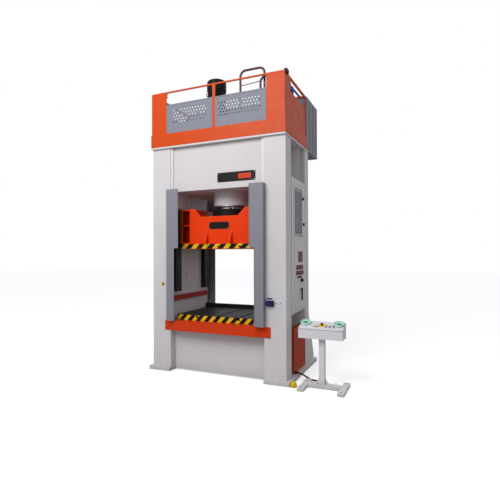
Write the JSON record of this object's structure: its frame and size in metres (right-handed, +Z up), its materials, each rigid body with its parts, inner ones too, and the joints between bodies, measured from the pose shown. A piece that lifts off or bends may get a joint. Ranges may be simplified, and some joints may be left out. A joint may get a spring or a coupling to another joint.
{
  "type": "straight-side hydraulic press",
  "caption": "Straight-side hydraulic press with a slotted slide and bolster, side guards, service gallery, oil tank and a free-standing two-hand console.",
  "frame": {"origin": "on the floor under the ram, in the middle of the four anchor holes", "axes": "+X to the operator's right, +Y from the operator's side to the back, +Z up along the ram"},
  "size_m": [3.498, 2.09, 5.405],
  "materials": {
    "white_paint": "satin",
    "orange_paint": "satin",
    "red_paint": "satin",
    "black_paint": "satin",
    "guard_paint": "satin",
    "tank_paint": "satin",
    "grille_paint": "satin",
    "bolster_steel": "satin",
    "bright_steel": "polished",
    "light_steel": "satin",
    "guide_black": "satin",
    "maroon_paint": "gloss",
    "blue_paint": "gloss",
    "yellow_paint": "satin",
    "blue_plastic": "satin",
    "green_plastic": "gloss",
    "mint_plastic": "satin",
    "black_plastic": "satin",
    "red_plastic": "gloss",
    "lamp_plastic": "gloss",
    "console_paint": "satin",
    "conduit_rubber": "matte"
  },
  "bodies": {
    "frame": {"left_column": "white_paint", "right_column": "white_paint", "crown": "white_paint", "bed": "white_paint", "bolster": "bolster_steel", "safety_bars": "red_paint", "inner_rails": "red_paint", "guide_rails": "guide_black", "side_guards": "guard_paint", "main_cylinder": "white_paint", "cylinder_gland": "light_steel", "prefill_valve": "light_steel", "gallery_deck": "white_paint", "gallery_skirt": "orange_paint", "gallery_frame": "orange_paint", "side_panels": "orange_paint", "gallery_grilles": "grille_paint", "oil_tank": "tank_paint", "motor_body": "black_paint", "fan_cowl": "black_paint", "pump_unit": "guard_paint", "valve_block": "light_steel", "accumulator": "blue_paint", "ladder_hoops": "maroon_paint", "oil_pipes": "guard_paint", "corner_box": "black_plastic", "lower_covers": "red_paint", "service_socket": "blue_plastic", "stop_ring": "yellow_paint", "crown_plate": "red_paint", "corner_pad": "yellow_paint", "pedestal_stand": "console_paint", "console_box": "console_paint", "palm_guards": "mint_plastic", "stop_plate": "yellow_paint", "pilot_lamps": "lamp_plastic", "console_conduit": "conduit_rubber", "conduit_glands": "black_plastic"},
    "ram": {"slide_block": "orange_paint", "slide_platen": "orange_paint", "slide_plate": "black_paint", "slide_shoes": "light_steel", "ram_flange": "black_paint", "ram_plunger": "bright_steel", "flange_bolts": "black_paint"},
    "upper_door": {"upper_door": "white_paint"},
    "lower_door": {"lower_door": "white_paint"},
    "upper_latch": {"upper_latch": "black_plastic"},
    "lower_latch": {"lower_latch": "black_plastic"},
    "door_switch": {"door_switch": "black_plastic"},
    "door_handle": {"door_handle": "black_plastic"},
    "socket_flap": {"socket_flap": "blue_plastic"},
    "column_stop_button": {"column_stop_button": "red_plastic"},
    "motor_fan": {"motor_fan": "black_plastic"},
    "left_palm_button": {"left_palm_button": "green_plastic"},
    "right_palm_button": {"right_palm_button": "green_plastic"},
    "console_stop_button": {"console_stop_button": "red_plastic"},
    "push_button_one": {"push_button_one": "green_plastic"},
    "push_button_two": {"push_button_two": "red_plastic"},
    "push_button_three": {"push_button_three": "black_plastic"}
  },
  "joints": [
    {"name": "ram_travel", "type": "slide", "parent": "frame", "child": "ram", "axis": [0, 0, -1], "range_m": [0, 0.8]},
    {"name": "upper_door_hinge", "type": "hinge", "parent": "frame", "child": "upper_door", "pos_m": [1.2593, -0.225, 2.836], "axis": [0, 0, -1], "range_deg": [0, 110]},
    {"name": "lower_door_hinge", "type": "hinge", "parent": "frame", "child": "lower_door", "pos_m": [1.2593, -0.225, 1.731], "axis": [0, 0, -1], "range_deg": [0, 110]},
    {"name": "upper_latch_turn", "type": "hinge", "parent": "upper_door", "child": "upper_latch", "pos_m": [1.2673, 0.285, 3.036], "axis": [1, 0, 0], "range_deg": [0, 90]},
    {"name": "lower_latch_turn", "type": "hinge", "parent": "upper_door", "child": "lower_latch", "pos_m": [1.2673, 0.318, 2.586], "axis": [1, 0, 0], "range_deg": [0, 90]},
    {"name": "door_switch_turn", "type": "hinge", "parent": "lower_door", "child": "door_switch", "pos_m": [1.2673, 0.177, 1.604], "axis": [1, 0, 0], "range_deg": [0, 90]},
    {"name": "door_handle_turn", "type": "hinge", "parent": "lower_door", "child": "door_handle", "pos_m": [1.2673, 0.172, 1.4425], "axis": [1, 0, 0], "range_deg": [0, 90]},
    {"name": "socket_flap_hinge", "type": "hinge", "parent": "frame", "child": "socket_flap", "pos_m": [0.975, -0.7093, 1.321], "axis": [-1, 0, 0], "range_deg": [0, 100]},
    {"name": "column_stop_press", "type": "slide", "parent": "frame", "child": "column_stop_button", "axis": [0, 1, 0], "range_m": [0, 0.005], "stiffness_N_per_m": 1500, "springref_m": -0.002},
    {"name": "fan_spin", "type": "hinge", "parent": "frame", "child": "motor_fan", "pos_m": [-0.437, 0.242, 5.26], "axis": [0, 0, 1], "continuous": true},
    {"name": "left_palm_press", "type": "slide", "parent": "frame", "child": "left_palm_button", "axis": [0, 0.2772, -0.9608], "range_m": [0, 0.008], "stiffness_N_per_m": 1500, "springref_m": -0.003},
    {"name": "right_palm_press", "type": "slide", "parent": "frame", "child": "right_palm_button", "axis": [0, 0.2772, -0.9608], "range_m": [0, 0.008], "stiffness_N_per_m": 1500, "springref_m": -0.003},
    {"name": "console_stop_press", "type": "slide", "parent": "frame", "child": "console_stop_button", "axis": [0, 0.2772, -0.9608], "range_m": [0, 0.006], "stiffness_N_per_m": 1500, "springref_m": -0.003},
    {"name": "push_one", "type": "slide", "parent": "frame", "child": "push_button_one", "axis": [0, 0.2772, -0.9608], "range_m": [0, 0.004], "stiffness_N_per_m": 1500, "springref_m": -0.003},
    {"name": "push_two", "type": "slide", "parent": "frame", "child": "push_button_two", "axis": [0, 0.2772, -0.9608], "range_m": [0, 0.004], "stiffness_N_per_m": 1500, "springref_m": -0.003},
    {"name": "push_three", "type": "slide", "parent": "frame", "child": "push_button_three", "axis": [0, 0.2772, -0.9608], "range_m": [0, 0.004], "stiffness_N_per_m": 1500, "springref_m": -0.003}
  ]
}
